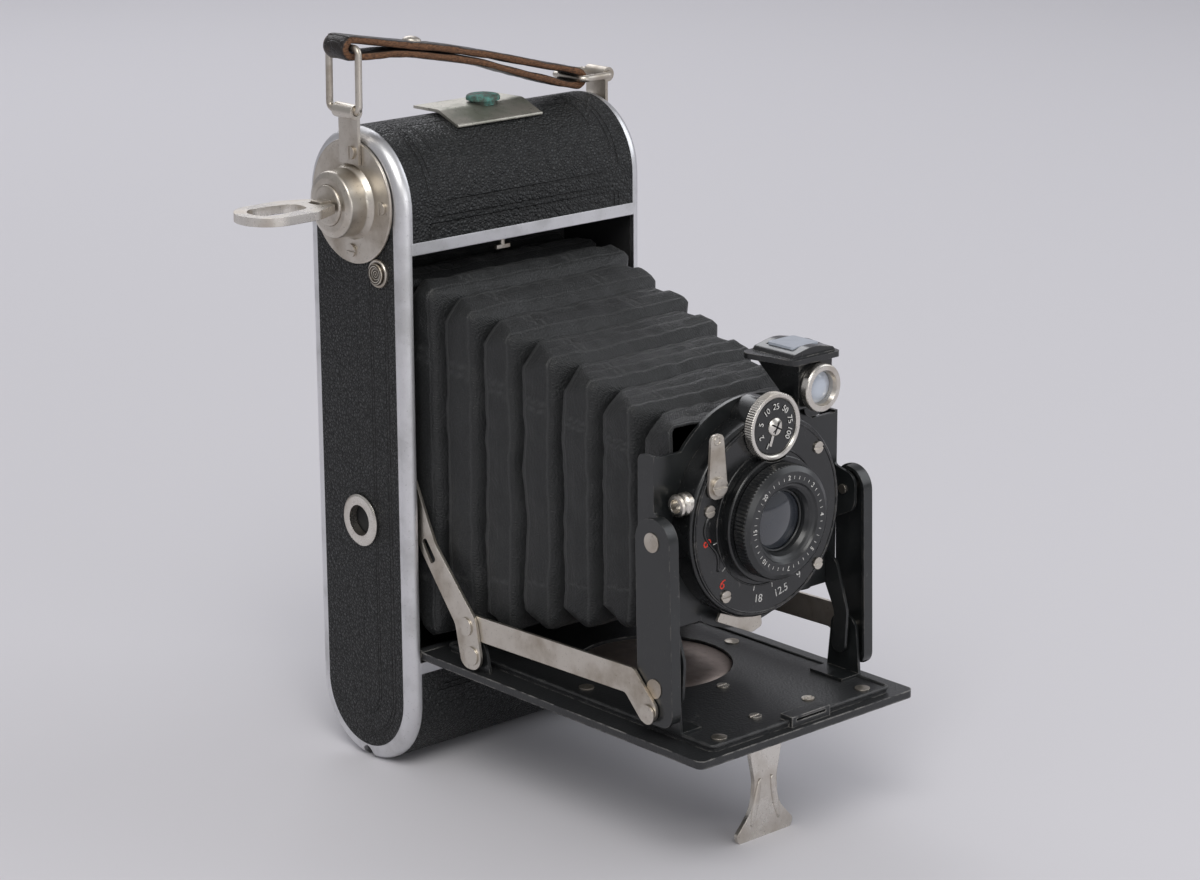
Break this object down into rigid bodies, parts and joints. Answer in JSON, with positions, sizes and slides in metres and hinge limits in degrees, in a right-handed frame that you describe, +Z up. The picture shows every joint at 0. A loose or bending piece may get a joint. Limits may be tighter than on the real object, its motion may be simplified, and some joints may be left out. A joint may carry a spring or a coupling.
{
  "type": "folding camera",
  "caption": "Upright folding rollfilm camera, open: round-ended leather-covered body, drop bed on a foot, strut-held lens standard, tapered bellows, swinging finder, winding key and strap.",
  "frame": {"origin": "on the ground under the middle of the camera body, in the plane of the seam between casing and back", "axes": "+Z up along the upright body, the lens looks along -Y, +X to the right seen from the front"},
  "size_m": [0.1178, 0.1416, 0.1904],
  "materials": {
    "satin_aluminium": "satin",
    "black_leather": "pebbled",
    "black_enamel": "gloss black enamel",
    "crackle_black": "matt crackle black",
    "chassis_black": "matt black",
    "nickel": "worn warm nickel",
    "bright_nickel": "bright nickel",
    "verdigris": "verdigris on brass",
    "bellows_cloth": "leathercloth",
    "brown_leather": "worn brown",
    "glass": "coated glass",
    "red_window": "ruby"
  },
  "bodies": {
    "camera_body": {"front_casing": "satin_aluminium", "front_leathers": "black_leather", "side_leathers": "black_leather", "crossbars": "satin_aluminium", "film_chassis": "chassis_black", "arm_lock_studs": "nickel", "hinge_pins": "nickel", "bellows": "bellows_cloth", "winder_escutcheon": "nickel", "escutcheon_screws": "nickel", "strap_lugs": "nickel", "lug_screws": "nickel", "tripod_bush": "bright_nickel", "button_bezel": "nickel", "carrying_strap": "brown_leather", "spool_pivot": "nickel"},
    "back_cover": {"back_cover": "satin_aluminium", "cover_leathers": "black_leather", "pressure_plate": "chassis_black", "pressure_springs": "nickel", "red_window": "red_window"},
    "back_latch": {"latch_plate": "nickel", "latch_button": "verdigris"},
    "winder": {"winder_hub": "nickel", "takeup_spool": "chassis_black"},
    "winding_key": {"winding_key": "nickel"},
    "film_roller_top": {"film_roller_top": "nickel"},
    "film_roller_bottom": {"film_roller_bottom": "nickel"},
    "release_button": {"release_button": "nickel"},
    "bed_catch": {"bed_catch": "nickel"},
    "bed": {"bed_plate": "satin_aluminium", "bed_leather": "black_leather", "bed_pan": "crackle_black", "bed_brackets": "black_enamel", "bed_rivets": "nickel", "foot_plate": "nickel"},
    "folding_foot": {"folding_foot": "bright_nickel"},
    "struts": {"struts": "black_enamel", "strut_rivets": "nickel"},
    "hook_arms": {"hook_arms": "nickel", "hook_arm_rivets": "nickel"},
    "long_arms": {"long_arms": "nickel"},
    "lens_standard": {"lens_board": "black_enamel", "shutter_case": "black_enamel", "shutter_face": "black_enamel", "lens_barrel": "black_enamel", "cable_socket": "bright_nickel", "face_screws": "nickel", "board_links": "black_enamel"},
    "focus_ring": {"focus_ring": "black_enamel", "front_glass": "glass"},
    "speed_dial": {"speed_dial": "bright_nickel"},
    "release_lever": {"release_lever": "nickel"},
    "aperture_lever": {"aperture_lever": "nickel"},
    "viewfinder": {"finder_housing": "black_enamel", "finder_ring": "bright_nickel", "finder_glasses": "glass"},
    "strap_link_left": {"strap_link_left": "nickel"},
    "strap_link_right": {"strap_link_right": "nickel"}
  },
  "joints": [
    {"name": "bed_fold", "type": "hinge", "parent": "camera_body", "child": "bed", "pos_m": [0, -0.018, 0.03225], "axis": [1, 0, 0], "range_deg": [-90, 0], "deforming": ["bellows"]},
    {"name": "strut_turn", "type": "hinge", "parent": "bed", "child": "struts", "pos_m": [0, -0.104, 0.046], "axis": [1, 0, 0], "range_deg": [-91, 1]},
    {"name": "standard_turn", "type": "hinge", "parent": "struts", "child": "lens_standard", "pos_m": [0, -0.103, 0.082], "axis": [1, 0, 0], "range_deg": [-2, 182]},
    {"name": "hook_arm_turn", "type": "hinge", "parent": "bed", "child": "hook_arms", "pos_m": [0, -0.0388, 0.0375], "axis": [1, 0, 0], "range_deg": [-1, 105]},
    {"name": "long_arm_turn", "type": "hinge", "parent": "struts", "child": "long_arms", "pos_m": [0, -0.103, 0.0396], "axis": [1, 0, 0], "range_deg": [-1, 83]},
    {"name": "foot_fold", "type": "hinge", "parent": "bed", "child": "folding_foot", "pos_m": [0, -0.106, 0.0289], "axis": [1, 0, 0], "range_deg": [0, 88]},
    {"name": "back_open", "type": "hinge", "parent": "camera_body", "child": "back_cover", "pos_m": [0, 0, 0.0013], "axis": [1, 0, 0], "range_deg": [-100, 0]},
    {"name": "latch_lift", "type": "hinge", "parent": "camera_body", "child": "back_latch", "pos_m": [0, -0.0095, 0.1653], "axis": [1, 0, 0], "range_deg": [0, 8], "stiffness_Nm_per_rad": 0.5},
    {"name": "winder_turn", "type": "hinge", "parent": "camera_body", "child": "winder", "pos_m": [0, 0, 0.1485], "axis": [1, 0, 0], "continuous": true},
    {"name": "key_fold", "type": "hinge", "parent": "winder", "child": "winding_key", "pos_m": [-0.0506, 0, 0.1485], "axis": [0, 1, 0], "range_deg": [-90, 90]},
    {"name": "roller_top_turn", "type": "hinge", "parent": "camera_body", "child": "film_roller_top", "pos_m": [0, 0.0105, 0.142], "axis": [1, 0, 0], "continuous": true},
    {"name": "roller_bottom_turn", "type": "hinge", "parent": "camera_body", "child": "film_roller_bottom", "pos_m": [0, 0.0105, 0.025], "axis": [1, 0, 0], "continuous": true},
    {"name": "button_press", "type": "slide", "parent": "camera_body", "child": "release_button", "axis": [1, 0, 0], "range_m": [0, 0.0012], "stiffness_N_per_m": 300},
    {"name": "catch_slide", "type": "slide", "parent": "camera_body", "child": "bed_catch", "axis": [1, 0, 0], "range_m": [0, 0.0012]},
    {"name": "focus_turn", "type": "hinge", "parent": "lens_standard", "child": "focus_ring", "pos_m": [0, -0.11, 0.082], "axis": [0, 1, 0], "range_deg": [0, 240]},
    {"name": "dial_turn", "type": "hinge", "parent": "lens_standard", "child": "speed_dial", "pos_m": [0, -0.108, 0.1048], "axis": [0, 1, 0], "range_deg": [-120, 60]},
    {"name": "release_press", "type": "hinge", "parent": "lens_standard", "child": "release_lever", "pos_m": [-0.0173, -0.1075, 0.0933], "axis": [0, 1, 0], "range_deg": [-16, 0], "stiffness_Nm_per_rad": 0.02},
    {"name": "aperture_turn", "type": "hinge", "parent": "lens_standard", "child": "aperture_lever", "pos_m": [0, -0.104, 0.082], "axis": [0, 1, 0], "range_deg": [-30, 0]},
    {"name": "finder_turn", "type": "hinge", "parent": "lens_standard", "child": "viewfinder", "pos_m": [0.022, -0.1, 0.1045], "axis": [0, 1, 0], "range_deg": [0, 90]},
    {"name": "link_left_swing", "type": "hinge", "parent": "camera_body", "child": "strap_link_left", "pos_m": [-0.0422, 0, 0.1716], "axis": [0, 1, 0], "range_deg": [-4, 4]},
    {"name": "link_right_swing", "type": "hinge", "parent": "camera_body", "child": "strap_link_right", "pos_m": [0.0414, 0, 0.1716], "axis": [0, 1, 0], "range_deg": [-4, 4]}
  ],
  "couplings": [
    {"joint": "strut_turn", "follows": "bed_fold", "ratio": 1},
    {"joint": "standard_turn", "follows": "bed_fold", "ratio": -2},
    {"joint": "hook_arm_turn", "follows": "bed_fold", "ratio": -1.1556},
    {"joint": "long_arm_turn", "follows": "bed_fold", "ratio": -0.91},
    {"joint": "catch_slide", "follows": "button_press", "ratio": 1}
  ]
}
